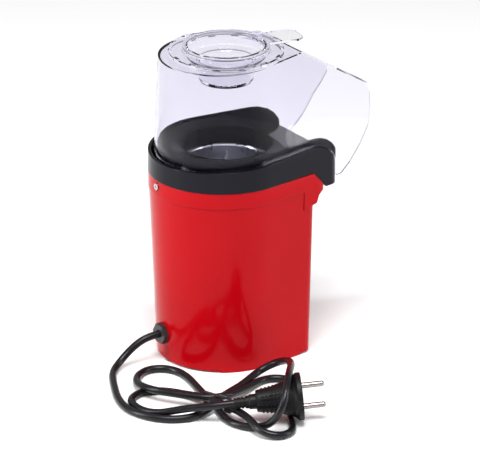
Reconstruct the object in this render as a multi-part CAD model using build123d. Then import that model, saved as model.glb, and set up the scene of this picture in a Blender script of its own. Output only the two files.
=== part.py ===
from build123d import *
import os
from math import cos, sin, tan, radians, pi

os.makedirs("parts", exist_ok=True)

# ---------------------------------------------------------------------------
# Popcorn maker, hot air, with a lift-off clear hood and a measuring cup.
# Millimetres, +Z up, chute towards -Y.  The origin is on the floor, under the
# middle of the machine's own bounding box (the mains cord is left out of it).
# Plan outlines are a round back, two straight sides that close in towards the
# front, and a flat front with rounded corners.
# "ahead" is a distance forward of the upright axis of the throat and the cup.
# ---------------------------------------------------------------------------

# overall
hood_reach = 125.4
collar_back = 67.8
axis_y = (hood_reach - collar_back) / 2
arc_centre = -4.5
behind = -75.0
cut_half_width = 80.0

# body shell
body_wall = 2.4
body_low_radius = 56.2
body_high_radius = 62.0
body_front = 54.0
body_taper = 5.0
body_corner = 9.0
band_bottom = 152.0
band_top = 166.0
band_proud = 0.6
ledge_tip = 64.6
relief_height = 1.6

# top collar
ring_centre = -4.1
collar_low_radius = 63.3
collar_high_radius = 62.0
collar_taper = 7.4
collar_front = 80.0
collar_corner = 11.0
collar_wall = 2.4
collar_edge_z = 186.2
collar_edge_rise = 2.6
lip_bottom = 151.0
ring_radius = 54.1
ring_taper = 7.0
ring_wall = 1.6
ring_top = 192.8
ring_root = 183.0
lip_front = 85.0
dish_edge_z = 190.6
throat_radius = 39.2
throat_edge_z = 187.5
throat_wall = 2.0
throat_bottom = 171.5
skirt_radius = 59.2
skirt_wall = 2.0
skirt_bottom = 153.5

# hood
hood_wall = 2.2
hood_gap = 0.5
hood_low_radius = ring_radius + hood_gap + hood_wall + 0.6
hood_low_z = 193.3
hood_high_radius = 50.6
hood_high_centre = -7.8
hood_high_taper = 16.5
hood_roof_z = 268.2
hood_bend = 53.5
hood_front_top_z = 225.7
hood_front_top = 124.1
hood_tip = 86.4
hood_tip_z = 155.2
disc_radius = 48.6
disc_top = 271.4
neck_inner = 34.6
neck_outer = 37.6
neck_top = 273.4
vent_count = 14
vent_ring = 46.2
vent_length = 7.0
vent_width = 2.6

# measuring cup
cup_rim_radius = 36.8
cup_rim_top = 275.4
cup_flange = 1.7
cup_wall = 1.5
cup_upper_radius = 33.9
cup_shoulder_z = 261.0
cup_bowl_radius = 23.0
cup_bottom = 243.0
tab_reach = 67.0
tab_width = 26.0
tab_angle = 10.0

# popping chamber, heater and drive
chamber_radius = 37.6
chamber_wall = 1.0
chamber_bottom = 112.0
chamber_flange = 45.0
duct_radius = 44.0
duct_wall = 1.6
duct_top = 170.3
duct_bottom = 88.0
duct_flange = 52.0
duct_front = 48.4
boss_ring = 48.8
boss_start = 90.0
arm_start = 30.0
arm_count = 3
heater_ring_radii = (31.0, 24.0, 17.0)
heater_ring_z = 99.0
heater_step = 3.0
fan_duct_bottom = 62.0
fan_radius = 39.0
fan_bottom = 68.0
fan_height = 12.0
motor_radius = 14.4
motor_bottom = 22.0
motor_screw_x = 8.0
end_cap_height = 5.0
duct_part_z = 128.0
shaft_radius = 1.15
bracket_thickness = 2.4
bracket_screw_ring = 39.5

# base and switch
base_z = 3.0
base_thickness = 2.4
base_gap = 0.4
board_y = axis_y + 41.0
board_x = -16.0
block_x = 24.0
wire_places = (20.5, 27.5)
switch_z = 44.0
switch_bezel = (21.0, 15.0, 2.0)
switch_body = (18.6, 12.6, 15.0)
rocker_size = (16.6, 10.4)
rocker_depth = 2.5
rocker_tilt = 9.0
screw_x = 5.0
screw_z = 160.4

# gland, cord and plug
gland_x = 5.0
gland_z = 25.0
cord_radius = 3.2
hank_thickness = 6.0
pin_radius = 2.4
pin_length = 19.0
pin_spacing = 19.0
gland_hex = 16.0
gland_face_y = 95.0
floor_gap = 0.05

# the cord leaves the gland, drops to the floor behind the machine and swings round to the hank
cord_route = [
    (gland_x, gland_face_y, 25.0), (5.8, 105.5, 24.4), (8.0, 115.0, 19.8), (9.6, 124.0, 12.6),
    (8.4, 133.0, 6.4), (3.0, 142.0, 3.5), (-7.0, 149.6, 3.25), (-25.0, 159.0, 3.25), (-46.0, 169.0, 3.25),
    (-68.0, 174.0, 3.25), (-88.0, 169.0, 3.25), (-102.5, 158.5, 3.25), (-110.5, 145.0, 3.4),
    (-112.5, 132.5, 4.2), (-109.8, 120.1, 5.0),
]

# hank: two lobes on the floor, tied in the middle
tie_x = -105.0
tie_y = 108.0
tie_along = (0.37, -0.929)
tie_across = (0.929, 0.37)
tie_half = 13.6
tie_top = 13.4
tie_wall = 1.2
waist_length = 26.0
stub_length = 6.0
left_lobe = [(-90, 98), (-60, 98), (-32, 95), (-14, 103), (-10, 118), (-22, 136), (-46, 147), (-60, 159),
             (-74, 166), (-84, 155), (-95, 142), (-103, 128), (-108, 112)]
right_lobe = [(-98, 112), (-86, 84), (-70, 58), (-62, 38), (-70, 25), (-92, 23), (-118, 31), (-137, 50),
              (-148, 68), (-163, 83), (-182, 89), (-192, 98), (-184, 110), (-160, 113),
              (-138, 118), (-115, 118)]

# plug: on its edge, its axis rising a little from the hank
plug_direction = Vector(-0.50, -0.861, 0.09).normalized()
plug_centre = Vector(-161.0, 64.5, 22.3)
plug_end = plug_centre - plug_direction * 54.0
plug_across = Vector(-0.861, 0.50, 0.0).normalized()


def y_at(ahead):
    """Y of a point a given distance ahead of the upright axis."""
    return axis_y - ahead


def outline(radius, taper, front, corner, z, centre=arc_centre):
    """Closed plan outline as a face at height z."""
    angle = radians(taper)
    side_x = radius * cos(angle)
    side_s = centre + radius * sin(angle)
    front_x = side_x - (front - side_s) * tan(angle)
    back = ThreePointArc(
        (side_x, y_at(side_s)), (0, y_at(centre - radius)), (-side_x, y_at(side_s))
    )
    left = Line((-side_x, y_at(side_s)), (-front_x, y_at(front)))
    ahead = Line((-front_x, y_at(front)), (front_x, y_at(front)))
    right = Line((front_x, y_at(front)), (side_x, y_at(side_s)))
    face = make_face([back, left, ahead, right])
    if corner > 0:
        front_corners = face.vertices().sort_by(Axis.Y)[:2]
        face = fillet(front_corners, corner)
    return Pos(0, 0, z) * face


def outline_prism(radius, taper, front, corner, bottom, top, centre=arc_centre):
    """Upright prism of a plan outline."""
    return extrude(outline(radius, taper, front, corner, bottom, centre), top - bottom)


def side_prism(points, half_width=cut_half_width):
    """Solid of a side view, given as (ahead, z) points, spread across X."""
    edges = Polyline(*[(y_at(s), z) for s, z in points], close=True)
    face = Plane.YZ * make_face(edges)
    return extrude(face, half_width, both=True)


def half_space_above(z_at_axis, rise, size=300.0):
    """Big block above a plane that rises towards the front."""
    block = Pos(0, 0, size / 2) * Box(size, size, size)
    return Pos(0, axis_y, z_at_axis) * Rot(-rise, 0, 0) * block


def ring_of(solid, count, start=0.0):
    """Copies of a solid turned about the upright axis."""
    turned = []
    for number in range(count):
        angle = start + 360.0 * number / count
        turned.append(Pos(0, axis_y, 0) * Rot(0, 0, angle) * solid)
    return turned


def tube(inner, outer, bottom, top):
    """Upright tube round the axis of the throat."""
    height = top - bottom
    ring = Cylinder(outer, height) - Cylinder(inner, height)
    return Pos(0, axis_y, (bottom + top) / 2) * ring


def disc(radius, bottom, top):
    """Upright round block on the axis of the throat."""
    return Pos(0, axis_y, (bottom + top) / 2) * Cylinder(radius, top - bottom)


def save(node, shape):
    """Write one node as STEP."""
    export_step(shape, f"parts/{node}.step")


# ------------------------------------------------------------------ body shell
def body_outer(inset, bottom, top):
    """Tapering body up to the band, set in by a wall."""
    share = top / band_bottom
    low = outline(body_low_radius - inset, body_taper, body_front - inset, body_corner - inset, bottom)
    high_radius = body_low_radius + (body_high_radius - body_low_radius) * share - inset
    high = outline(high_radius, body_taper, body_front - inset, body_corner - inset, top)
    return loft([low, high], ruled=True)


def body_shell():
    lower = body_outer(0.0, 0.0, band_bottom)
    band_radius = body_high_radius + band_proud
    band = outline_prism(band_radius, body_taper, body_front, body_corner, band_bottom, band_top)
    ledge = side_prism(
        [(40, 136), (body_front - 0.4, 139.5), (56.2, 146.4), (59.6, 148.8), (ledge_tip + 5.0, 150.4),
         (ledge_tip + 5.0, band_top), (40, band_top)],
    )
    ledge_plan = outline_prism(band_radius, body_taper, ledge_tip, body_corner, 130, band_top)
    shell = lower + band + (ledge & ledge_plan)
    shell -= body_outer(body_wall, 0.0, band_bottom) + outline_prism(
        body_high_radius - body_wall, body_taper, body_front - body_wall, body_corner - body_wall,
        band_bottom, band_top + 1,
    )
    # shallow reliefs under the front and the back leave two long feet at the sides
    front_relief = Pos(0, y_at(body_front), 0) * Box(200, 26, 2 * relief_height)
    back_relief = Pos(0, y_at(-body_low_radius - 2), 0) * Box(200, 44, 2 * relief_height)
    shell -= front_relief + back_relief
    # room for the collar's drooping front
    shell -= side_prism([(50.9, 166.2), (51.5, 165.0), (64.7, 151.0), (80, 151.0), (80, 180), (50.9, 180)])
    # four screw posts joined to the wall by ribs
    for x, ahead in base_screw_places():
        post = Pos(x, y_at(ahead), 16.0) * Cylinder(4.0, 20.0)
        rib = Pos(x + (7.0 if x > 0 else -7.0), y_at(ahead), 16.0) * Box(14.0, 2.0, 20.0)
        rib &= body_outer(0.5, 0.0, band_bottom)
        bore = Pos(x, y_at(ahead), 14.0) * Cylinder(1.4, 17.0)
        shell += post + rib
        shell -= bore
    # openings for the switch, the gland and the collar screw
    shell -= Pos(0, y_at(body_front), switch_z) * Box(switch_body[0] + 0.4, 12, switch_body[1] + 0.4)
    shell -= Pos(gland_x, y_at(-60), gland_z) * Rot(90, 0, 0) * Cylinder(6.1, 14)
    shell -= Pos(screw_x, y_at(-66), screw_z) * Rot(90, 0, 0) * Cylinder(1.7, 16)
    shell -= Pos(screw_x, y_at(-67.5), screw_z) * Rot(90, 0, 0) * Cylinder(3.6, 3.0)
    return shell


def base_screw_places():
    """X and distance ahead of the four base screws."""
    return [(-40.0, 34.0), (40.0, 34.0), (-36.0, -36.0), (36.0, -36.0)]


# ------------------------------------------------------------------ top collar
def collar_side_view():
    """Side view of the outer wall, which drops in an arc to the lip."""
    return [
        (behind, band_top), (51, band_top), (51.6, 165.0), (64.8, lip_bottom), (collar_front, lip_bottom),
        (collar_front, 163.0), (79.2, 167.4), (77.0, 173.0), (73.6, 178.2), (69.0, 182.6),
        (63.4, 186.0), (57.0, 188.2), (50.0, 189.4), (50, 200), (behind, 200),
    ]


def lip_side_view():
    """Side view of the inner ring and the cheeks of the chute."""
    return [
        (behind, 180), (40, 180), (64.8, lip_bottom), (lip_front, lip_bottom), (lip_front, 168.0),
        (84.2, 173.6), (81.8, 179.2), (77.6, 184.8), (71.8, 189.2), (65.0, 191.8), (57.5, ring_top),
        (behind, ring_top),
    ]


def collar_cavity():
    """Hollow under the collar's top."""
    view = [
        (behind, 140), (behind, 182.6), (44, 182.6), (58, 178.4), (68, 172.8), (73, 167.0), (76, 160),
        (76, 140),
    ]
    inset = collar_wall
    plan = outline_prism(
        collar_high_radius - inset, collar_taper, collar_front - inset, collar_corner - inset, 130, 190
    )
    return side_prism(view) & plan


def chute_and_dish():
    """Space above the dish and the chute floor, inside the ring."""
    plan = outline_prism(ring_radius - ring_wall, ring_taper, lip_front + 30, 0.0, 150, 230, ring_centre)
    floor = side_prism(
        [(behind, dish_edge_z), (30, dish_edge_z), (41, 186.6), (84.4, 171.2), (86.5, 168.5),
         (88, 166.0), (120, 160), (120, 240), (behind, 240)],
    )
    dish = Solid.make_cone(throat_radius, ring_radius - ring_wall - 1.0, dish_edge_z - throat_edge_z + 0.2)
    return (plan & floor) + Pos(0, axis_y, throat_edge_z - 0.1) * dish


def foot_line(drop):
    """Lower edge of the hood in side view, from the back to its tip."""
    return [
        (behind, collar_edge_z - 4.6 - drop), (-50, collar_edge_z - 3.4 - drop), (50, 187.6 - drop),
        (58.0, 187.3 - drop), (64.6, 185.6 - drop), (70.6, 182.4 - drop), (75.6, 178.0 - drop),
        (79.2 - drop, 172.4), (81.0 - drop, 166.0), (81.2 - drop, hood_tip_z),
    ]


def hood_groove():
    """Room for the hood's foot round the inner ring."""
    band = outline_prism(hood_low_radius + 0.3, ring_taper, 120, 0.0, 150, 230, ring_centre)
    band -= outline_prism(ring_radius, ring_taper, 120, 0.0, 150, 230, ring_centre)
    return band & side_prism(foot_line(0.3) + [(81.2, 149), (130, 149), (130, 230), (behind, 230)])


def top_collar():
    low = outline(collar_low_radius, collar_taper, collar_front, collar_corner, 150)
    high = outline(collar_high_radius, collar_taper, collar_front, collar_corner, 200)
    outer = loft([low, high], ruled=True) & side_prism(collar_side_view())
    outer -= half_space_above(collar_edge_z, collar_edge_rise)
    inner = outline_prism(ring_radius, ring_taper, lip_front, 7.0, 150, 200, ring_centre)
    inner &= side_prism(lip_side_view())
    collar = outer + inner
    # ledge that the hood stands on, a little below the outer edge
    ledge_plan = outline_prism(
        collar_high_radius - 2.2, collar_taper, collar_front - 2.2, collar_corner - 2.2, 150, 200
    ) - outline_prism(ring_radius, ring_taper, lip_front, 7.0, 150, 200, ring_centre)
    collar -= ledge_plan & half_space_above(collar_edge_z - 1.3, collar_edge_rise)
    collar -= hood_groove()
    collar -= collar_cavity()
    collar += tube(throat_radius, throat_radius + throat_wall, throat_bottom, dish_edge_z - 1.5)
    collar -= chute_and_dish()
    collar -= disc(throat_radius, 140, 240)
    # skirt that drops inside the body, and three posts for the duct screws
    skirt = outline_prism(skirt_radius, body_taper, body_front - body_wall - 0.3, 6.3, skirt_bottom, 171)
    skirt -= outline_prism(skirt_radius - skirt_wall, body_taper, body_front - body_wall - 2.3, 4.3, 150, 172)
    collar += skirt
    web = outline_prism(collar_high_radius - 0.6, collar_taper, 49.0, 9.0, 167.6, 170.0)
    web -= outline_prism(skirt_radius - skirt_wall, body_taper, body_front - body_wall - 2.3, 4.3, 150, 172)
    collar += web & outline_prism(collar_low_radius - 1.0, collar_taper, 60.0, 9.0, 150, 190)
    post_height = ring_root - duct_top
    post = Pos(boss_ring, 0, duct_top + post_height / 2) * Cylinder(3.4, post_height)
    posts = ring_of(post, arm_count, boss_start)
    bores = ring_of(Pos(boss_ring, 0, duct_top + 4.9) * Cylinder(1.25, 10.0), arm_count, boss_start)
    for post in posts:
        collar += post
    for bore in bores:
        collar -= bore
    collar -= Pos(screw_x, y_at(-59), screw_z) * Rot(90, 0, 0) * Cylinder(1.3, 12)
    return collar


# ------------------------------------------------------------------------ hood
def hood_form(inset, cut, low=150.0, front=140.0):
    """The hood's form set in by a wall, upright foot and leaning walls, kept inside a side cut."""
    foot = outline_prism(hood_low_radius - inset, ring_taper, front, 0.0, low, hood_low_z, ring_centre)
    bottom = outline(hood_low_radius - inset, ring_taper, front, 0.0, hood_low_z, ring_centre)
    top = outline(hood_high_radius - inset, hood_high_taper, front, 0.0, hood_roof_z, hood_high_centre)
    return (foot & cut) + (loft([bottom, top], ruled=True) & cut)


def hood_side_view(inset):
    """Side view of the hood: flat roof, sloping roof, and a front that curves back to the lip."""
    roof = hood_roof_z - inset
    rim = inset * 1.6
    return foot_line(inset) + [
        (hood_tip - rim * 0.4, hood_tip_z), (96.4 - rim, 163.4), (107.8 - rim, 176.6), (116.7 - rim, 191.0),
        (122.8 - rim, 206.0), (hood_reach - rim, 217.0),
        (hood_front_top - rim, hood_front_top_z - inset * 1.15),
        (hood_bend, roof), (behind, roof),
    ]


def hood():
    shell = hood_form(0.0, side_prism(hood_side_view(0.0)))
    under_roof = [(behind, 140), (160, 140), (160, 202.2), (hood_bend, hood_roof_z - hood_wall),
                  (behind, hood_roof_z - hood_wall)]
    hollow = hood_form(hood_wall, side_prism(under_roof), 140.0)
    shell -= hollow
    shell += disc(disc_radius, hood_roof_z - hood_wall, disc_top)
    shell -= disc(disc_radius - hood_wall, hood_roof_z - hood_wall - 1, disc_top - hood_wall)
    shell += disc(neck_outer, disc_top - hood_wall, neck_top)
    shell -= disc(neck_inner, 240, 290)
    slot = Pos(vent_ring, 0, disc_top - 1.5) * Box(3.4, vent_length, vent_width)
    for vent in ring_of(Pos(1.4, 0, 0) * slot, vent_count, 8.0):
        shell -= vent
    return shell


# --------------------------------------------------------------- measuring cup
def measuring_cup():
    outside = [
        (0, cup_bottom), (cup_bowl_radius - 2.8, cup_bottom), (cup_bowl_radius - 0.9, cup_bottom + 0.8),
        (cup_bowl_radius, cup_bottom + 2.8), (cup_bowl_radius + 0.8, cup_shoulder_z - 1.4),
        (cup_bowl_radius + 2.0, cup_shoulder_z), (cup_upper_radius - 2.0, cup_shoulder_z + 1.6),
        (cup_upper_radius - 0.6, cup_shoulder_z + 3.4), (cup_upper_radius, cup_rim_top - cup_flange),
        (cup_rim_radius, cup_rim_top - cup_flange), (cup_rim_radius, cup_rim_top),
    ]
    inside = [
        (cup_upper_radius - cup_wall + 0.4, cup_rim_top), (cup_upper_radius - cup_wall, cup_rim_top - 1.0),
        (cup_upper_radius - cup_wall - 0.6, cup_shoulder_z + 4.0),
        (cup_upper_radius - cup_wall - 2.0, cup_shoulder_z + 3.1),
        (cup_bowl_radius + 1.2, cup_shoulder_z + 1.5),
        (cup_bowl_radius - cup_wall + 0.8, cup_shoulder_z - 0.6),
        (cup_bowl_radius - cup_wall, cup_bottom + 3.4),
        (cup_bowl_radius - cup_wall - 1.9, cup_bottom + cup_wall),
        (0, cup_bottom + cup_wall),
    ]
    profile = make_face(Polyline(*outside, *inside, close=True))
    bowl = Pos(0, axis_y, 0) * revolve(Plane.XZ * profile, Axis.Z)
    corner = 6.0
    half = tab_width / 2
    tab_outline = Polyline(
        (cup_upper_radius, -half), (tab_reach - corner, -half), (tab_reach, -half + corner * 0.8),
        (tab_reach, half - corner * 0.8), (tab_reach - corner, half), (cup_upper_radius, half), close=True,
    )
    tab = extrude(make_face(tab_outline), 2.0)
    tab = Pos(0, axis_y, cup_rim_top - 1.8) * Rot(0, 0, -90 - tab_angle) * tab
    cup = bowl + (tab - disc(cup_upper_radius - 0.8, 240, 290))
    return cup


# ------------------------------------------------- popping chamber and heating
def popping_chamber():
    """Spun aluminium pot with a flange, a raised floor and louvred air slots."""
    outer = chamber_radius
    inner = chamber_radius - chamber_wall
    low = chamber_bottom
    lifted = chamber_bottom + chamber_wall
    brim = duct_top + chamber_wall
    outside = [
        (0, low + 9), (10, low + 8), (20, low + 3), (outer - 8, low), (outer - 2.5, low + 0.8),
        (outer, low + 4),
        (outer, duct_top), (chamber_flange, duct_top), (chamber_flange, brim),
    ]
    inside = [
        (inner + 0.6, brim), (inner, duct_top), (inner, low + 4.4), (outer - 3.1, low + 1.8),
        (outer - 8, lifted), (20.4, lifted + 3), (10.3, lifted + 8), (0, lifted + 9),
    ]
    profile = make_face(Polyline(*outside, *inside, close=True))
    pot = Pos(0, axis_y, 0) * revolve(Plane.XZ * profile, Axis.Z)
    slot = Pos(outer, 0, low + 13) * Rot(28, 0, 0) * Box(8, 2.2, 13)
    for cut in ring_of(slot, 12):
        pot -= cut
    return pot


def heater_duct():
    """Tube round the chamber, with a flange that screws to the collar."""
    duct = tube(duct_radius, duct_radius + duct_wall, duct_bottom, duct_top)
    flange = tube(duct_radius + duct_wall + 1.5, duct_flange, duct_top - 2.0, duct_top)
    web = tube(duct_radius + 0.5, duct_radius + duct_wall + 2.0, duct_top - 4.0, duct_top - 2.0)
    step = tube(duct_radius + duct_wall + 1.2, duct_radius + duct_wall + 3.0, duct_top - 4.0, duct_top - 1.0)
    duct += flange + web + step
    duct -= Pos(0, y_at(duct_front + 10), duct_top) * Box(120, 20, 12)
    for bore in ring_of(Pos(boss_ring, 0, duct_top - 2) * Cylinder(1.6, 8), arm_count, boss_start):
        duct -= bore
    for seat in ring_of(Pos(boss_ring, 0, duct_top - 4) * Cylinder(3.2, 4), arm_count, boss_start):
        duct -= seat
    return duct


def chamber_clamp():
    """Ring that seats the chamber flange under the throat."""
    seat = duct_top + chamber_wall
    return tube(throat_radius + throat_wall + 0.1, chamber_flange, seat, throat_bottom + 2.0)



def heater_coil():
    """Three turns of resistance wire, one inside the other."""
    turns = []
    for number, radius in enumerate(heater_ring_radii):
        height = heater_ring_z + heater_step * (number - 1)
        turns.append(Pos(0, axis_y, height) * Torus(radius, 1.0))
    return Compound(children=turns)


def heater_frame():
    """Crossed mica plates, notched for the wire and fitting the duct."""
    plate = Box(2 * duct_radius - 0.02, 1.0, 19.0)
    cross = plate + Rot(0, 0, 90) * plate
    cross = Pos(0, axis_y, heater_ring_z) * cross
    cross &= disc(duct_radius, 60, 140)
    for number, radius in enumerate(heater_ring_radii):
        height = heater_ring_z + heater_step * (number - 1)
        cross -= Pos(0, axis_y, height) * Torus(radius, 1.05)
    return cross


def fan_duct():
    """Inlet ring under the heater duct, round the fan."""
    wall = tube(duct_radius, duct_radius + duct_wall, fan_duct_bottom, duct_bottom)
    inlet = tube(34.0, duct_radius + duct_wall, fan_duct_bottom - bracket_thickness, fan_duct_bottom)
    duct = wall + inlet
    bore = Pos(bracket_screw_ring, 0, fan_duct_bottom - 1) * Cylinder(1.3, 8)
    for bore in ring_of(bore, arm_count, arm_start):
        duct -= bore
    return duct


def motor_bracket():
    """Plate with three arms that holds the motor under the fan."""
    top = fan_duct_bottom - bracket_thickness
    bottom = top - bracket_thickness
    plate = disc(17.0, bottom, top)
    arm = Pos(30.0, 0, (bottom + top) / 2) * Box(29.0, 10.0, bracket_thickness)
    for copy in ring_of(arm, arm_count, arm_start):
        plate += copy
    plate &= disc(duct_radius + duct_wall, 40, 80)
    plate -= disc(5.2, 40, 80)
    for x in (-motor_screw_x, motor_screw_x):
        plate -= Pos(x, axis_y, top) * Cylinder(1.3, 10)
    for bore in ring_of(Pos(bracket_screw_ring, 0, top) * Cylinder(1.3, 10), arm_count, arm_start):
        plate -= bore
    return plate


def bracket_screws():
    """Three screws up through the bracket arms, and two into the motor."""
    bottom = fan_duct_bottom - 2 * bracket_thickness
    screws = ring_of(Pos(bracket_screw_ring, 0, bottom - 0.9) * Cylinder(2.4, 1.8), arm_count, arm_start)
    joined = []
    for number, head in enumerate(screws):
        turn = Pos(0, axis_y, 0) * Rot(0, 0, arm_start + 360.0 * number / arm_count)
        stem = turn * (Pos(bracket_screw_ring, 0, bottom + 2.0) * Cylinder(1.25, 4.0))
        joined.append(head + stem)
    return Compound(children=joined)


def motor_can():
    """Round steel can with a front boss."""
    top = fan_duct_bottom - 2 * bracket_thickness
    can = disc(motor_radius, motor_bottom + end_cap_height, top)
    can += disc(4.9, top - 1, top + bracket_thickness)
    can -= disc(shaft_radius + 0.05, 10, 80)
    for x in (-motor_screw_x, motor_screw_x):
        can -= Pos(x, axis_y, top) * Cylinder(1.3, 8)
    return can


def motor_end_cap():
    """Plastic end cap with the two brush terminals."""
    cap = disc(motor_radius - 0.4, motor_bottom, motor_bottom + end_cap_height)
    cap += disc(5.0, motor_bottom - 2.0, motor_bottom)
    for x in (-8.5, 8.5):
        cap += Pos(x, axis_y, motor_bottom - 1.6) * Box(3.0, 0.8, 3.4)
    return cap


def motor_screws():
    """Two short screws that hold the motor to its bracket."""
    top = fan_duct_bottom - bracket_thickness
    screws = []
    for x in (-motor_screw_x, motor_screw_x):
        head = Pos(x, axis_y, top + 0.7) * Cylinder(2.2, 1.4)
        stem = Pos(x, axis_y, top - 2.5) * Cylinder(1.25, 5.0)
        screws.append(head + stem)
    return Compound(children=screws)


def motor_shaft():
    return disc(shaft_radius, motor_bottom + 6, fan_bottom + fan_height - 1)


def fan_impeller():
    """Eight pitched blades on a hub, pressed on the shaft."""
    hub = disc(8.0, fan_bottom, fan_bottom + fan_height)
    blade = Pos(23.0, 0, fan_bottom + fan_height / 2) * Rot(35, 0, 0) * Box(31.0, 1.4, 13.0)
    for copy in ring_of(blade, 8):
        hub += copy
    hub &= disc(fan_radius, fan_bottom, fan_bottom + fan_height)
    hub -= disc(shaft_radius, fan_bottom - 1, fan_bottom + fan_height - 1)
    return hub


def thermostat():
    """Round bimetal thermostat on the outside of the heater duct."""
    place = Pos(0, y_at(-duct_radius - duct_wall), duct_part_z) * Rot(90, 0, 0)
    can = place * (Pos(0, 0, -3.0) * Cylinder(7.5, 6.0))
    ears = place * (Pos(0, 0, -5.5) * Box(24.0, 7.0, 1.0))
    body = can + ears
    return body - disc(duct_radius + duct_wall, 100, 160)


def thermal_fuse():
    """Small metal fuse lying against the duct."""
    x = duct_radius + duct_wall + 2.2
    fuse = Pos(x, axis_y, duct_part_z) * Cylinder(2.2, 11)
    fuse += Pos(x, axis_y, duct_part_z) * Cylinder(0.6, 19)
    return fuse - disc(duct_radius + duct_wall, 100, 160)


# ------------------------------------------------------------- base and switch
def base_plate():
    """Floor of the machine, with slots that let the air in."""
    inset = body_wall + base_gap
    plate = outline_prism(
        body_low_radius - inset, body_taper, body_front - inset, body_corner - inset,
        base_z, base_z + base_thickness,
    )
    for number in range(-3, 4):
        length = 46.0 - 3.0 * abs(number)
        plate -= Pos(8.6 * number, axis_y - 2, base_z) * Box(4.0, length, 12.0)
    for x, ahead in base_screw_places():
        plate -= Pos(x, y_at(ahead), base_z) * Cylinder(1.7, 12)
    # two low posts that carry the rectifier board, and one for the terminal block
    for x in (-24.0, -8.0):
        plate += Pos(x, board_y, base_z + base_thickness + 2.0) * Cylinder(2.2, 4.0)
    plate += Pos(block_x, board_y, base_z + base_thickness + 1.5) * Box(12.0, 10.0, 3.0)
    return plate


def base_screws():
    """Four screws up into the posts of the body."""
    screws = []
    for x, ahead in base_screw_places():
        head = Pos(x, y_at(ahead), base_z - 0.9) * Cylinder(3.0, 1.8)
        stem = Pos(x, y_at(ahead), base_z + 6.0) * Cylinder(1.38, 12.0)
        screws.append(head + stem)
    return Compound(children=screws)


def rectifier_board():
    """Small board with four diodes that feeds the motor."""
    z = base_z + base_thickness + 4.0
    board = Pos(board_x, board_y, z + 0.8) * Box(26.0, 14.0, 1.6)
    for number in range(4):
        x = -24.0 + 5.4 * number
        board += Pos(x, board_y, z + 2.9) * Rot(90, 0, 0) * Cylinder(1.4, 6.0)
    return board


def terminal_block():
    """Two-way screw terminal for the mains wires."""
    z = base_z + base_thickness + 3.0
    block = Pos(block_x, board_y, z + 5.0) * Box(16.0, 12.0, 10.0)
    for x in wire_places:
        block -= Pos(x, board_y, z + 9.0) * Cylinder(1.9, 6.0)
        block -= Pos(x, board_y, z + 4.0) * Rot(90, 0, 0) * Cylinder(1.5, 20.0)
    return block


def terminal_screws():
    z = base_z + base_thickness + 3.0
    return Compound(children=[
        Pos(x, board_y, z + 7.6) * Cylinder(1.9, 3.2) for x in wire_places
    ])


def switch_housing():
    """Rocker switch frame, snapped into the front wall."""
    bezel = Pos(0, y_at(body_front + switch_bezel[2] / 2), switch_z) * Box(
        switch_bezel[0], switch_bezel[2], switch_bezel[1]
    )
    depth = switch_body[2]
    box = Pos(0, y_at(body_front - depth / 2), switch_z) * Box(switch_body[0], depth, switch_body[1])
    hollow = Pos(0, y_at(body_front - 2.0), switch_z) * Box(rocker_size[0] + 0.8, 12.0, rocker_size[1] + 0.8)
    frame = bezel + box - hollow
    for x in (-4.0, 4.0):
        frame += Pos(x, y_at(body_front - depth - 3.0), switch_z) * Box(0.8, 7.0, 4.8)
    for x in (-1, 1):
        pin = Pos(x * (rocker_size[0] / 2 + 0.1), y_at(body_front - rocker_depth), switch_z) * Rot(0, 90, 0)
        frame += pin * Cylinder(0.9, 1.2)
    return frame


def switch_rocker():
    """Rocker with its upper half standing out, which is the off position."""
    wide, high = rocker_size
    half = high / 2
    points = [(4.4, 0.9 - half), (-0.6, 0.4 - half), (-0.15, 0), (-0.6, half - 0.4), (4.4, half - 0.9)]
    face = Plane.YZ * make_face(Polyline(*points, close=True))
    rocker = extrude(face, wide / 2, both=True)
    rocker = Pos(0, -rocker_depth, 0) * rocker
    pin_seats = Box(wide + 4, 9, 9) - Box(wide - 1.2, 10, 10)
    rocker -= Rot(0, 90, 0) * Cylinder(1.0, wide + 2) & pin_seats
    return Pos(0, y_at(body_front - rocker_depth), switch_z) * Rot(rocker_tilt, 0, 0) * rocker


def collar_screw():
    """Round-headed screw through the back of the body into the collar skirt."""
    head = Pos(screw_x, y_at(-67.0), screw_z) * Rot(90, 0, 0) * Cylinder(2.9, 1.8)
    stem = Pos(screw_x, y_at(-62.0), screw_z) * Rot(90, 0, 0) * Cylinder(1.28, 9.0)
    recess = Pos(screw_x, y_at(-67.9), screw_z) * Box(3.4, 0.8, 0.7)
    cross = Pos(screw_x, y_at(-67.9), screw_z) * Box(0.7, 0.8, 3.4)
    return head + stem - recess - cross


def duct_screws():
    """Three screws that hang the heater duct from the collar."""
    screws = []
    for number in range(arm_count):
        turn = Pos(0, axis_y, 0) * Rot(0, 0, boss_start + 360.0 * number / arm_count)
        head = turn * (Pos(boss_ring, 0, duct_top - 2.9) * Cylinder(2.6, 1.8))
        stem = turn * (Pos(boss_ring, 0, duct_top + 2.0) * Cylinder(1.2, 9.0))
        screws.append(head + stem)
    return Compound(children=screws)


# ---------------------------------------------------------- gland, cord, plug
def cord_gland():
    """Hexagonal gland with a short round shank through the wall."""
    flange = extrude(RegularPolygon(gland_hex / 2, 6, major_radius=False), 5.2)
    flange = Pos(gland_x, gland_face_y, gland_z) * Rot(90, 0, 0) * flange
    shank = Pos(gland_x, gland_face_y - 9.0, gland_z) * Rot(90, 0, 0) * Cylinder(5.9, 14.0)
    bore = Pos(gland_x, gland_face_y - 8.0, gland_z) * Rot(90, 0, 0) * Cylinder(cord_radius + 0.3, 40)
    gland = flange - body_outer(0.0, -1.0, band_bottom) + shank
    return gland - bore


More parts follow.
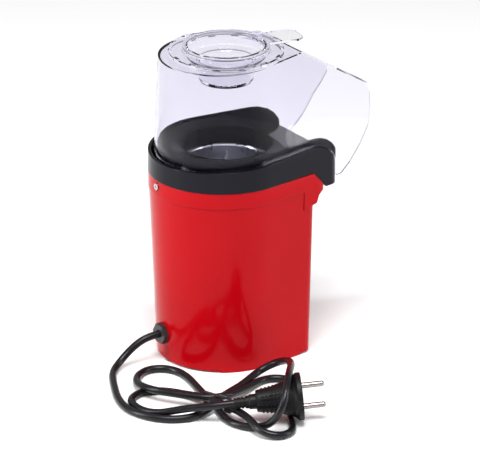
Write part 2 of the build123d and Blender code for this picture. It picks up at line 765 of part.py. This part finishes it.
def gland_nut():
    """Nut that holds the gland from inside the wall."""
    nut = extrude(RegularPolygon(7.6, 6, major_radius=False), 4.0)
    nut = Pos(gland_x, gland_face_y - 9.2, gland_z) * Rot(90, 0, 0) * nut
    return nut - Pos(gland_x, gland_face_y - 10, gland_z) * Rot(90, 0, 0) * Cylinder(5.9, 20)


def fillet_radii(points):
    """Largest arc that each corner of a route has room for."""
    radii = []
    for before, here, after in zip(points, points[1:], points[2:]):
        arriving = Vector(*here) - Vector(*before)
        leaving = Vector(*after) - Vector(*here)
        turn = radians(arriving.get_angle(leaving))
        radii.append(0.45 * min(arriving.length, leaving.length) / tan(turn / 2))
    return radii


def mains_cord():
    """Cord from the gland to the hank, lying on the floor after its first drop."""
    radii = fillet_radii(cord_route)
    print("cord radii", [round(radius, 1) for radius in radii])
    path = FilletPolyline(*cord_route, radius=radii)
    start = Plane(origin=cord_route[0], z_dir=Vector(*cord_route[1]) - Vector(*cord_route[0]))
    cord = sweep(start * Circle(cord_radius), path=path)
    ratio = cord.volume / (pi * cord_radius**2 * path.length)
    print("cord length", round(path.length, 1), "volume ratio", round(ratio, 3))
    return cord


def slab(points, top):
    """Flat block on the floor, of a rounded outline through plan points."""
    edge = Spline(*points, periodic=True)
    return Pos(0, 0, floor_gap) * extrude(make_face(edge), top - floor_gap)


def plug_place(distance):
    """Plane across the plug's axis, at a distance from the end of its relief."""
    return Plane(origin=plug_end + plug_direction * distance, x_dir=plug_across, z_dir=plug_direction)


def plug_form(profile):
    """Round solid about the plug's axis, from (distance, radius) points."""
    edge = [(radius, distance) for distance, radius in profile]
    section = make_face(Polyline((0, profile[0][0]), *edge, (0, profile[-1][0]), close=True))
    return plug_place(0) * revolve(Plane.XZ * section, Axis.Z)


body_profile = [(18, 6.4), (18.5, 9.0), (20, 9.4), (30, 10.6), (44, 14.6), (49.5, 17.0), (51.5, 19.2),
                (52.5, 20.0), (56.0, 20.0), (56.5, 19.4)]
relief_profile = [(0, 4.4), (12, 5.4), (13, 6.2), (18, 6.4)]
pocket_profile = [(-0.01, 7.6), (17.0, 10.0), (30, 11.4), (49.0, 17.6), (51.0, 20.6), (58, 20.6)]


def plug_body():
    body = plug_form(body_profile)
    # earth contact opening between the pins, and flats at the two sides
    body -= plug_place(50) * Cylinder(2.4, 14)
    for side in (-1, 1):
        body -= plug_place(53) * Pos(side * 20.4, 0, 0) * Box(4, 9, 12)
        body -= plug_place(51.5) * Pos(0, side * pin_spacing / 2, 0) * Cylinder(pin_radius, 10.04)
    return body


def plug_relief():
    relief = plug_form(relief_profile)
    for distance in (2.5, 5.5, 8.5):
        groove = Cylinder(8, 1.2) - Cylinder(4.2, 1.2)
        relief -= plug_place(distance) * groove
    return relief


def plug_pins():
    """Two round pins with rounded tips."""
    pins = []
    for side in (-1, 1):
        length = pin_length + 10.0
        pin = Cylinder(pin_radius, length)
        tip = pin.edges().filter_by(GeomType.CIRCLE).sort_by(Axis.Z)[-1]
        pin = fillet(tip, pin_radius * 0.8)
        pins.append(plug_place(46.5 + length / 2) * Pos(0, side * pin_spacing / 2, 0) * pin)
    return Compound(children=pins)


def tie_place():
    """Plane across the bundle where the tie goes round it."""
    return Plane(origin=(tie_x, tie_y, 0), x_dir=(*tie_across, 0), z_dir=(*tie_along, 0))


def tie_band(width, grow):
    """Upright rounded band round the bundle: full block of its outer or inner size."""
    bottom = floor_gap + tie_wall - grow
    top = tie_top - tie_wall + grow
    block = Box(2 * (tie_half - tie_wall + grow), top - bottom, width)
    return tie_place() * Pos(0, (bottom + top) / 2, 0) * block


def twist_tie():
    """Flat tie round the middle of the hank, with its two ends twisted together."""
    band = tie_band(2.6, tie_wall) - tie_band(4.0, 0.0)
    tail = tie_place() * Pos(-6.0, tie_top + 0.6, 0) * Rot(0, 90, 0) * Cylinder(0.9, 8.0)
    return band + tail


def cord_hank():
    """Outer form of the figure-eight hank, with room for the tie and the plug."""
    hank = slab(left_lobe, hank_thickness) + slab(right_lobe, hank_thickness)
    top = tie_top - 0.4
    block = Box(2 * tie_half - 0.8, top - floor_gap, waist_length)
    hank += tie_place() * Pos(0, (top + floor_gap) / 2, 0) * block
    hank -= tie_band(2.7, 1.3) - tie_band(4.0, 0.0)
    hank -= plug_form(pocket_profile)
    stub = plug_place(-stub_length / 2) * Cylinder(cord_radius, stub_length)
    start = plug_end - plug_direction * stub_length
    inner = Vector(tie_x - 6, tie_y + 2, 8)
    lead_in = Plane(origin=(start + inner) * 0.5, z_dir=start - inner) * Cylinder(
        cord_radius, (start - inner).length
    )
    return hank + stub + Pos(*start) * Sphere(cord_radius) + lead_in


parts = {
    "body_shell": body_shell,
    "top_collar": top_collar,
    "hood": hood,
    "measuring_cup": measuring_cup,
    "popping_chamber": popping_chamber,
    "chamber_clamp": chamber_clamp,
    "heater_duct": heater_duct,
    "heater_frame": heater_frame,
    "heater_coil": heater_coil,
    "fan_duct": fan_duct,
    "fan_impeller": fan_impeller,
    "motor_bracket": motor_bracket,
    "bracket_screws": bracket_screws,
    "motor_can": motor_can,
    "motor_end_cap": motor_end_cap,
    "motor_screws": motor_screws,
    "motor_shaft": motor_shaft,
    "thermostat": thermostat,
    "thermal_fuse": thermal_fuse,
    "base_plate": base_plate,
    "base_screws": base_screws,
    "rectifier_board": rectifier_board,
    "terminal_block": terminal_block,
    "terminal_screws": terminal_screws,
    "switch_housing": switch_housing,
    "switch_rocker": switch_rocker,
    "collar_screw": collar_screw,
    "duct_screws": duct_screws,
    "cord_gland": cord_gland,
    "gland_nut": gland_nut,
    "mains_cord": mains_cord,
    "cord_hank": cord_hank,
    "twist_tie": twist_tie,
    "plug_body": plug_body,
    "plug_relief": plug_relief,
    "plug_pins": plug_pins,
}

for node, make in parts.items():
    save(node, make())
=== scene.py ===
import bpy
import bmesh
import math
from mathutils import Vector, Matrix


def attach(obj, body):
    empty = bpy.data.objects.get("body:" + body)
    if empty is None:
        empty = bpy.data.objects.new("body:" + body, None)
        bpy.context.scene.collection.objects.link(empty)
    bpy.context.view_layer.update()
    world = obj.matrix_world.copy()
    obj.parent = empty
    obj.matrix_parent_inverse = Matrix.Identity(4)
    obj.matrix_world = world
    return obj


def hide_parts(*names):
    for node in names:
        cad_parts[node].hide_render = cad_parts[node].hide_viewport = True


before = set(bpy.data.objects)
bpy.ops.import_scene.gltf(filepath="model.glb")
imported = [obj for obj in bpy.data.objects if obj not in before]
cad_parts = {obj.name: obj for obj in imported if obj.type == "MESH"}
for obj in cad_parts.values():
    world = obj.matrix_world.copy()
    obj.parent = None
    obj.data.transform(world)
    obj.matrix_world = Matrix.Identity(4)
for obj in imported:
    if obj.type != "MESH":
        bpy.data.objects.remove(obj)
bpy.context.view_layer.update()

# ---------------------------------------------------------------- frame places
AXIS_Y = 0.0288  # upright axis of the throat and the cup
CORD_D = 0.0064
FLOOR_CLEARANCE = 0.0001
FOLD_RADIUS = 0.019
EASING_ROUNDS = 12
EASING_SHARE = 0.15
PLUG_LENGTH = 0.054


# ------------------------------------------------------------------- materials
def new_material(
    name, color, roughness=0.4, metallic=0.0, ior=1.5, coat=0.0, coat_roughness=0.03, specular=0.5,
):
    mat = bpy.data.materials.new(name)
    mat.use_nodes = True
    shader = mat.node_tree.nodes["Principled BSDF"]
    shader.inputs["Base Color"].default_value = (*color, 1.0)
    shader.inputs["Roughness"].default_value = roughness
    shader.inputs["Metallic"].default_value = metallic
    shader.inputs["IOR"].default_value = ior
    shader.inputs["Coat Weight"].default_value = coat
    shader.inputs["Coat Roughness"].default_value = coat_roughness
    shader.inputs["Specular IOR Level"].default_value = specular
    return mat, mat.node_tree, shader


def add_node(tree, kind, **values):
    node = tree.nodes.new(kind)
    for key, value in values.items():
        if key in node.inputs:
            node.inputs[key].default_value = value
        else:
            setattr(node, key, value)
    return node


def object_coordinates(tree, scale=(1, 1, 1)):
    """Object coordinates, stretched along each axis."""
    coords = tree.nodes.new("ShaderNodeTexCoord")
    mapping = tree.nodes.new("ShaderNodeMapping")
    mapping.inputs["Scale"].default_value = scale
    tree.links.new(coords.outputs["Object"], mapping.inputs["Vector"])
    return mapping.outputs["Vector"]


def noise(tree, vector, scale, detail=3.0, roughness=0.55):
    node = add_node(tree, "ShaderNodeTexNoise", Scale=scale, Detail=detail, Roughness=roughness)
    tree.links.new(vector, node.inputs["Vector"])
    return node.outputs["Fac"]


def ramp(tree, source, low, high, dark, light):
    node = tree.nodes.new("ShaderNodeMapRange")
    node.inputs["From Min"].default_value = low
    node.inputs["From Max"].default_value = high
    node.inputs["To Min"].default_value = dark
    node.inputs["To Max"].default_value = light
    tree.links.new(source, node.inputs["Value"])
    return node.outputs["Result"]


def mix_color(tree, factor, first, second):
    node = tree.nodes.new("ShaderNodeMix")
    node.data_type = "RGBA"
    node.inputs["A"].default_value = (*first, 1.0)
    node.inputs["B"].default_value = (*second, 1.0)
    tree.links.new(factor, node.inputs["Factor"])
    return node.outputs["Result"]


def bump(tree, shader, height, strength, distance, edge=0.0):
    node = add_node(tree, "ShaderNodeBump", Strength=strength, Distance=distance)
    tree.links.new(height, node.inputs["Height"])
    if edge > 0:
        rounded = add_node(tree, "ShaderNodeBevel", Radius=edge)
        rounded.samples = 4
        tree.links.new(rounded.outputs["Normal"], node.inputs["Normal"])
    tree.links.new(node.outputs["Normal"], shader.inputs["Normal"])


def moulded_plastic(name, color, shade, roughness, grain, depth, edge, coat=0.0, specular=0.5):
    """Moulded plastic: faint colour drift, uneven gloss and a fine surface grain."""
    mat, tree, shader = new_material(name, color, roughness, coat=coat, specular=specular)
    place = object_coordinates(tree)
    drift = noise(tree, place, 14.0, 2.0)
    tint = mix_color(tree, ramp(tree, drift, 0.3, 0.7, 0.0, 1.0), color, shade)
    tree.links.new(tint, shader.inputs["Base Color"])
    wear = noise(tree, place, 90.0, 4.0)
    gloss = ramp(tree, wear, 0.35, 0.75, roughness * 0.85, roughness * 1.25)
    tree.links.new(gloss, shader.inputs["Roughness"])
    bump(tree, shader, noise(tree, place, grain, 2.0), 0.25, depth, edge)
    return mat


def metal(name, color, roughness, stretch, scale, depth, edge=0.0002):
    """Worked metal: brushed or spun lines and patches of uneven gloss."""
    mat, tree, shader = new_material(name, color, roughness, metallic=1.0)
    place = object_coordinates(tree, stretch)
    lines = noise(tree, place, scale, 5.0, 0.6)
    gloss = ramp(tree, lines, 0.3, 0.7, roughness * 0.7, roughness * 1.35)
    tree.links.new(gloss, shader.inputs["Roughness"])
    patches = noise(tree, object_coordinates(tree), 60.0, 3.0)
    darker = tuple(value * 0.86 for value in color)
    tint = mix_color(tree, ramp(tree, patches, 0.35, 0.7, 0.0, 1.0), color, darker)
    tree.links.new(tint, shader.inputs["Base Color"])
    bump(tree, shader, lines, 0.35, depth, edge)
    return mat


def clear_plastic(name, tint, roughness, ior, edge):
    """Clear moulded plastic with a faint flow pattern and hairline scuffs."""
    mat, tree, shader = new_material(name, tint, roughness, ior=ior)
    shader.inputs["Transmission Weight"].default_value = 1.0
    place = object_coordinates(tree)
    scuffs = noise(tree, object_coordinates(tree, (1.0, 1.0, 0.25)), 260.0, 4.0)
    gloss = ramp(tree, scuffs, 0.45, 0.8, roughness * 0.7, roughness * 2.2)
    tree.links.new(gloss, shader.inputs["Roughness"])
    bump(tree, shader, noise(tree, place, 22.0, 1.0), 0.12, 0.0004, edge)
    return mat


def board_material(name, color, dark):
    """Sheet material with long fibres in two shades."""
    mat, tree, shader = new_material(name, color, 0.55)
    place = object_coordinates(tree)
    fibres = noise(tree, object_coordinates(tree, (1.0, 6.0, 1.0)), 160.0, 4.0)
    tint = mix_color(tree, ramp(tree, fibres, 0.35, 0.65, 0.0, 1.0), color, dark)
    tree.links.new(tint, shader.inputs["Base Color"])
    bump(tree, shader, noise(tree, place, 500.0), 0.3, 0.0001, 0.0)
    return mat


def chamber_aluminium():
    """Spun aluminium: fine rings about the upright axis."""
    mat, tree, shader = new_material("spun_aluminium", (0.62, 0.62, 0.67), 0.3, metallic=1.0)
    coords = tree.nodes.new("ShaderNodeTexCoord")
    wave = add_node(tree, "ShaderNodeTexWave", Scale=260.0, Distortion=0.6, Detail=2.0)
    wave.wave_type = "BANDS"
    wave.bands_direction = "Z"
    tree.links.new(coords.outputs["Object"], wave.inputs["Vector"])
    patches = noise(tree, coords.outputs["Object"], 45.0, 4.0)
    tree.links.new(ramp(tree, patches, 0.3, 0.7, 0.22, 0.4), shader.inputs["Roughness"])
    tint = mix_color(tree, ramp(tree, patches, 0.45, 0.75, 0.0, 1.0), (0.62, 0.62, 0.67), (0.52, 0.51, 0.54))
    tree.links.new(tint, shader.inputs["Base Color"])
    bump(tree, shader, wave.outputs["Fac"], 0.25, 0.0001, 0.0004)
    return mat


RED = moulded_plastic(
    "red_gloss", (0.40, 0.001, 0.005), (0.36, 0.001, 0.004),
    roughness=0.13, grain=900.0, depth=0.00002, edge=0.0012, specular=0.1,
)
BLACK = moulded_plastic(
    "black_gloss", (0.003, 0.0027, 0.006), (0.005, 0.0045, 0.009),
    roughness=0.09, grain=700.0, depth=0.00002, edge=0.0011, specular=0.14,
)
BLACK_FINE = moulded_plastic(
    "black_fine", (0.014, 0.014, 0.015), (0.02, 0.02, 0.021),
    roughness=0.42, grain=1500.0, depth=0.00006, edge=0.0004,
)
CORD = moulded_plastic(
    "cord_black", (0.004, 0.004, 0.006), (0.006, 0.006, 0.008),
    roughness=0.3, grain=1100.0, depth=0.00004, edge=0.0, specular=0.28,
)
PLUG = moulded_plastic(
    "plug_black", (0.003, 0.003, 0.004), (0.005, 0.005, 0.006),
    roughness=0.42, grain=1300.0, depth=0.00006, edge=0.0006, specular=0.2,
)
INNER = moulded_plastic(
    "inner_black", (0.03, 0.03, 0.031), (0.04, 0.039, 0.038),
    roughness=0.5, grain=900.0, depth=0.00008, edge=0.0004,
)
WHITE = moulded_plastic(
    "white_block", (0.78, 0.76, 0.70), (0.72, 0.70, 0.63),
    roughness=0.45, grain=900.0, depth=0.00006, edge=0.0004,
)
CLEAR = clear_plastic("clear_hood", (0.86, 0.85, 0.92), roughness=0.02, ior=1.16, edge=0.0)
CLEAR_CUP = clear_plastic("clear_cup", (0.94, 0.935, 0.965), roughness=0.02, ior=1.2, edge=0.0)
STEEL = metal(
    "zinc_steel", (0.60, 0.60, 0.62), roughness=0.3, stretch=(1.0, 1.0, 6.0), scale=240.0, depth=0.00004,
)
SCREW = metal(
    "screw_steel", (0.55, 0.54, 0.54), roughness=0.28, stretch=(1.0, 1.0, 1.0), scale=500.0, depth=0.00003,
)
NICKEL = metal(
    "nickel_pins", (0.34, 0.31, 0.30), roughness=0.26, stretch=(2.0, 2.0, 2.0), scale=300.0, depth=0.00002,
)
BRASS = metal(
    "brass_screws", (0.72, 0.55, 0.25), roughness=0.3, stretch=(1.0, 1.0, 3.0), scale=300.0, depth=0.00003,
)
WIRE = metal(
    "heater_wire", (0.42, 0.38, 0.36), roughness=0.45, stretch=(3.0, 3.0, 3.0), scale=400.0, depth=0.00005,
)
MICA = board_material("mica_sheet", (0.50, 0.42, 0.30), (0.36, 0.29, 0.20))
BOARD = board_material("phenolic_board", (0.36, 0.20, 0.07), (0.27, 0.14, 0.05))
ALUMINIUM = chamber_aluminium()

NODE_MATERIALS = {
    "body_shell": RED, "base_plate": BLACK_FINE, "top_collar": BLACK, "hood": CLEAR,
    "measuring_cup": CLEAR_CUP, "popping_chamber": ALUMINIUM, "chamber_clamp": STEEL,
    "heater_duct": INNER, "fan_duct": INNER, "heater_frame": MICA, "heater_coil": WIRE,
    "motor_bracket": STEEL, "bracket_screws": SCREW, "motor_can": STEEL, "motor_end_cap": WHITE,
    "motor_screws": SCREW, "motor_shaft": STEEL, "fan_impeller": INNER, "thermostat": BLACK_FINE,
    "thermal_fuse": STEEL, "base_screws": SCREW, "rectifier_board": BOARD, "terminal_block": WHITE,
    "terminal_screws": BRASS, "switch_housing": BLACK_FINE, "switch_rocker": BLACK_FINE,
    "collar_screw": SCREW, "duct_screws": SCREW, "cord_gland": BLACK_FINE, "gland_nut": BLACK_FINE,
    "twist_tie": BLACK_FINE, "plug_body": PLUG, "plug_relief": PLUG, "plug_pins": NICKEL,
    "mains_cord": CORD, "cord_hank": CORD,
}
for node, material in NODE_MATERIALS.items():
    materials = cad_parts[node].data.materials
    materials.clear()
    materials.append(material)


# ------------------------------------------------------------------- the cord
LEAD = [
    (0.005, 0.095, 0.025), (0.0058, 0.1055, 0.0244), (0.008, 0.115, 0.0198),
    (0.0096, 0.124, 0.0126), (0.0084, 0.133, 0.0064), (0.003, 0.142, 0.0035),
    (-0.007, 0.1496, 0.0033), (-0.025, 0.159, 0.0033), (-0.046, 0.169, 0.0033),
    (-0.068, 0.174, 0.0033), (-0.088, 0.169, 0.0033), (-0.1025, 0.1585, 0.0033),
    (-0.1105, 0.145, 0.0034), (-0.1125, 0.1325, 0.0042), (-0.1098, 0.1201, 0.005),
]
# near turn of the right lobe: over the plug's body and back along the floor
NEAR_TURN = [
    (-0.105, 0.11, 0.0085), (-0.096, 0.091, 0.0078), (-0.086, 0.07, 0.006),
    (-0.075, 0.05, 0.0065), (-0.072, 0.036, 0.01), (-0.082, 0.029, 0.016),
    (-0.102, 0.034, 0.025), (-0.126, 0.048, 0.034), (-0.149, 0.066, 0.041),
    (-0.165, 0.079, 0.041), (-0.175, 0.088, 0.033), (-0.178, 0.095, 0.022),
    (-0.172, 0.099, 0.012), (-0.163, 0.102, 0.005), (-0.155, 0.109, 0.0035),
    (-0.145, 0.115, 0.0033), (-0.133, 0.117, 0.0033), (-0.121, 0.1145, 0.0034),
]
# left lobe
LEFT_TURN = [
    (-0.109, 0.111, 0.0034), (-0.096, 0.107, 0.0035), (-0.08, 0.105, 0.0034),
    (-0.062, 0.101, 0.0033), (-0.044, 0.097, 0.0033), (-0.029, 0.097, 0.0033),
    (-0.016, 0.104, 0.0033), (-0.011, 0.117, 0.0033), (-0.017, 0.131, 0.0036),
    (-0.031, 0.141, 0.005), (-0.048, 0.145, 0.0085), (-0.062, 0.142, 0.0099),
    (-0.076, 0.133, 0.0099), (-0.09, 0.122, 0.0099),
]
# far turn of the right lobe, under the plug and out past it
FAR_TURN = [
    (-0.101, 0.112, 0.01), (-0.104, 0.097, 0.0098), (-0.098, 0.082, 0.007),
    (-0.09, 0.066, 0.0045), (-0.083, 0.05, 0.0034), (-0.081, 0.036, 0.0033),
    (-0.09, 0.026, 0.0033), (-0.105, 0.027, 0.0033), (-0.12, 0.036, 0.0033),
    (-0.134, 0.048, 0.0033), (-0.146, 0.06, 0.0033), (-0.1545, 0.0695, 0.0033),
    (-0.168, 0.0765, 0.0033), (-0.18, 0.082, 0.0033), (-0.188, 0.091, 0.0033),
    (-0.188, 0.102, 0.0034), (-0.18, 0.1085, 0.004), (-0.168, 0.11, 0.007),
    (-0.156, 0.109, 0.0098), (-0.146, 0.1075, 0.0098), (-0.134, 0.107, 0.0096),
    (-0.124, 0.109, 0.0098),
]
# second pass round the left lobe
LEFT_TURN_2 = [
    (-0.114, 0.111, 0.0099), (-0.102, 0.112, 0.009), (-0.088, 0.113, 0.0065),
    (-0.073, 0.117, 0.0038), (-0.059, 0.125, 0.0034), (-0.049, 0.136, 0.0033),
    (-0.046, 0.15, 0.0033), (-0.054, 0.162, 0.0033), (-0.068, 0.166, 0.0033),
    (-0.082, 0.1635, 0.0034), (-0.093, 0.157, 0.005),
]
# over the bundle and up into the plug's relief
LAST_RUN = [
    (-0.102, 0.148, 0.0085), (-0.11, 0.1395, 0.0113), (-0.119, 0.1315, 0.0138),
    (-0.128, 0.1214, 0.0163),
]
PLUG_AXIS = Vector((-0.50, -0.861, 0.09)).normalized()
PLUG_CENTRE = Vector((-0.1610, 0.0645, 0.0223))
PLUG_END = PLUG_CENTRE - PLUG_AXIS * PLUG_LENGTH


def cord_object(name, points, diameter):
    """Round cord along a smooth curve that starts and ends at its first and last points."""
    curve = bpy.data.curves.new(name, "CURVE")
    curve.dimensions = "3D"
    curve.resolution_u = 12
    curve.bevel_depth = diameter / 2
    curve.bevel_resolution = 5
    curve.use_fill_caps = True
    spline = curve.splines.new("NURBS")
    spline.points.add(len(points) - 1)
    for point, place in zip(spline.points, points):
        point.co = (*place, 1.0)
    spline.order_u = 3
    spline.use_endpoint_u = True
    piece = bpy.data.objects.new(name, curve)
    bpy.context.scene.collection.objects.link(piece)
    piece.data.materials.append(CORD)
    return piece


def spline_points(piece):
    """Points along a curve's line."""
    thin = piece.data.copy()
    thin.bevel_depth = 0.0
    holder = bpy.data.objects.new("line", thin)
    bpy.context.scene.collection.objects.link(holder)
    bpy.context.view_layer.update()
    mesh = bpy.data.meshes.new_from_object(holder)
    points = [vertex.co.copy() for vertex in mesh.vertices]
    bpy.data.objects.remove(holder)
    return points


def ease_bends(places, held_start, held_end, least_radius, rounds):
    """Move points at bends tighter than a least radius towards their neighbours, a set number of times."""
    places = [Vector(place) for place in places]
    for _ in range(rounds):
        for index in range(held_start, len(places) - held_end):
            before, here, after = places[index - 1], places[index], places[index + 1]
            arriving = here - before
            leaving = after - here
            doubled_area = arriving.cross(leaving).length
            radius = arriving.length * leaving.length * (after - before).length / (2 * doubled_area + 1e-12)
            if radius < least_radius:
                places[index] = here.lerp((before + after) / 2, EASING_SHARE)
                places[index].z = max(places[index].z, CORD_D / 2 + FLOOR_CLEARANCE)
    return [tuple(place) for place in places]


route = LEAD + NEAR_TURN + LEFT_TURN + FAR_TURN + LEFT_TURN_2 + LAST_RUN + [tuple(PLUG_END)]
route = ease_bends(route, held_start=len(LEAD), held_end=3, least_radius=FOLD_RADIUS, rounds=EASING_ROUNDS)
cord = cord_object("mains_lead", route, CORD_D)
line = spline_points(cord)
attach(cord, "machine")
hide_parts("mains_cord", "cord_hank")


# --------------------------------------------------------- small detail pieces
def mesh_object(name, mesh_data, material, body):
    mesh = bpy.data.meshes.new(name)
    mesh_data.to_mesh(mesh)
    mesh_data.free()
    piece = bpy.data.objects.new(name, mesh)
    bpy.context.scene.collection.objects.link(piece)
    mesh.materials.append(material)
    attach(piece, body)
    return piece


def add_block(work, centre, axes, size, bevel):
    """Rounded block with its own axes, added to a bmesh."""
    made = bmesh.ops.create_cube(work, size=1.0)
    turn = Matrix((axes[0], axes[1], axes[2])).transposed().to_4x4()
    stretch = Matrix.Diagonal((*size, 1.0))
    bmesh.ops.transform(work, matrix=Matrix.Translation(centre) @ turn @ stretch, verts=made["verts"])
    edges = list({edge for vert in made["verts"] for edge in vert.link_edges})
    bmesh.ops.bevel(work, geom=edges, offset=bevel, segments=2, affect="EDGES", profile=0.7)


PAD_ROWS = 6
PAD_STEPS = range(-3, 4)
PAD_ANGLE = math.radians(15.0)
PAD_PITCH = 0.0032
PAD_SIZE = (0.0017, 0.0017, 0.0010)
PAD_BEVEL = 0.0003
FIRST_ROW = 0.0235
FLARE_START = 0.020
FLARE_RADIUS = 0.0098
FLARE_SLOPE = 0.17


def plug_grip():
    """Rows of small raised pads on both sides of the plug's body."""
    work = bmesh.new()
    across = Vector((-0.861, 0.50, 0.0)).normalized()
    upright = PLUG_AXIS.cross(across).normalized()
    for side in (-1, 1):
        for row in range(PAD_ROWS):
            distance = FIRST_ROW + PAD_PITCH * row
            radius = FLARE_RADIUS + (distance - FLARE_START) * FLARE_SLOPE
            for step in PAD_STEPS:
                angle = PAD_ANGLE * step
                outward = across * side * math.cos(angle) + upright * math.sin(angle)
                sideways = outward.cross(PLUG_AXIS)
                centre = PLUG_END + PLUG_AXIS * distance + outward * radius
                add_block(work, centre, (PLUG_AXIS, sideways, outward), PAD_SIZE, PAD_BEVEL)
    return mesh_object("plug_grip_pads", work, PLUG, "machine")


grip = plug_grip()

# ------------------------------------------------------- camera, floor, lights
ELEVATION = math.radians(22.6)
BEARING = Vector((-0.8290, 0.5592))  # plan direction from the machine to the camera
CAMERA_DISTANCE = 3.4
AIM_HEIGHT = 0.1275
AIM_RIGHT = 0.01165
AIM_DOWN = 0.0226
toward = Vector((BEARING.x * math.cos(ELEVATION), BEARING.y * math.cos(ELEVATION), math.sin(ELEVATION)))
right = Vector((-BEARING.y, BEARING.x, 0.0)).normalized()
up = toward.cross(right).normalized()
aim = Vector((0.0, AXIS_Y, AIM_HEIGHT)) + right * AIM_RIGHT - up * AIM_DOWN
camera_data = bpy.data.cameras.new("camera")
camera_data.lens = 300.0
camera_data.sensor_width = 36.0
camera = bpy.data.objects.new("camera", camera_data)
bpy.context.scene.collection.objects.link(camera)
turn = Matrix((right, up, toward)).transposed().to_4x4()
camera.matrix_world = Matrix.Translation(aim + toward * CAMERA_DISTANCE) @ turn
bpy.context.scene.camera = camera


def floor():
    work = bmesh.new()
    bmesh.ops.create_grid(work, x_segments=2, y_segments=2, size=6.0)
    mesh = bpy.data.meshes.new("floor")
    work.to_mesh(mesh)
    work.free()
    plane = bpy.data.objects.new("floor", mesh)
    bpy.context.scene.collection.objects.link(plane)
    mesh.materials.append(new_material("floor_white", (0.92, 0.92, 0.92), 0.7)[0])


def area_light(name, place, target, size, power, size_y=None):
    data = bpy.data.lights.new(name, "AREA")
    data.energy = power
    data.size = size
    if size_y:
        data.shape = "RECTANGLE"
        data.size_y = size_y
    lamp = bpy.data.objects.new(name, data)
    bpy.context.scene.collection.objects.link(lamp)
    lamp.location = place
    lamp.rotation_euler = (Vector(target) - Vector(place)).to_track_quat("-Z", "Y").to_euler()


floor()
middle = Vector((0.0, 0.0, 0.12))
raised = Vector((0.0, 0.0, 0.3))
left_place = middle - right * 1.3 + toward * 0.5 + raised
right_place = middle + right * 1.4 + toward * 0.3 + raised
area_light("key", (-0.7, 0.5, 1.9), middle, size=1.0, power=46.0)
area_light("left_strip", left_place, middle, size=0.22, power=16.0, size_y=1.3)
area_light("right_strip", right_place, middle, size=0.22, power=9.0, size_y=1.3)

world = bpy.data.worlds.new("studio")
bpy.context.scene.world = world
world.use_nodes = True
backdrop = world.node_tree.nodes["Background"]
backdrop.inputs["Color"].default_value = (1.0, 1.0, 1.0, 1.0)
backdrop.inputs["Strength"].default_value = 0.42
bpy.context.scene.view_settings.view_transform = "Standard"
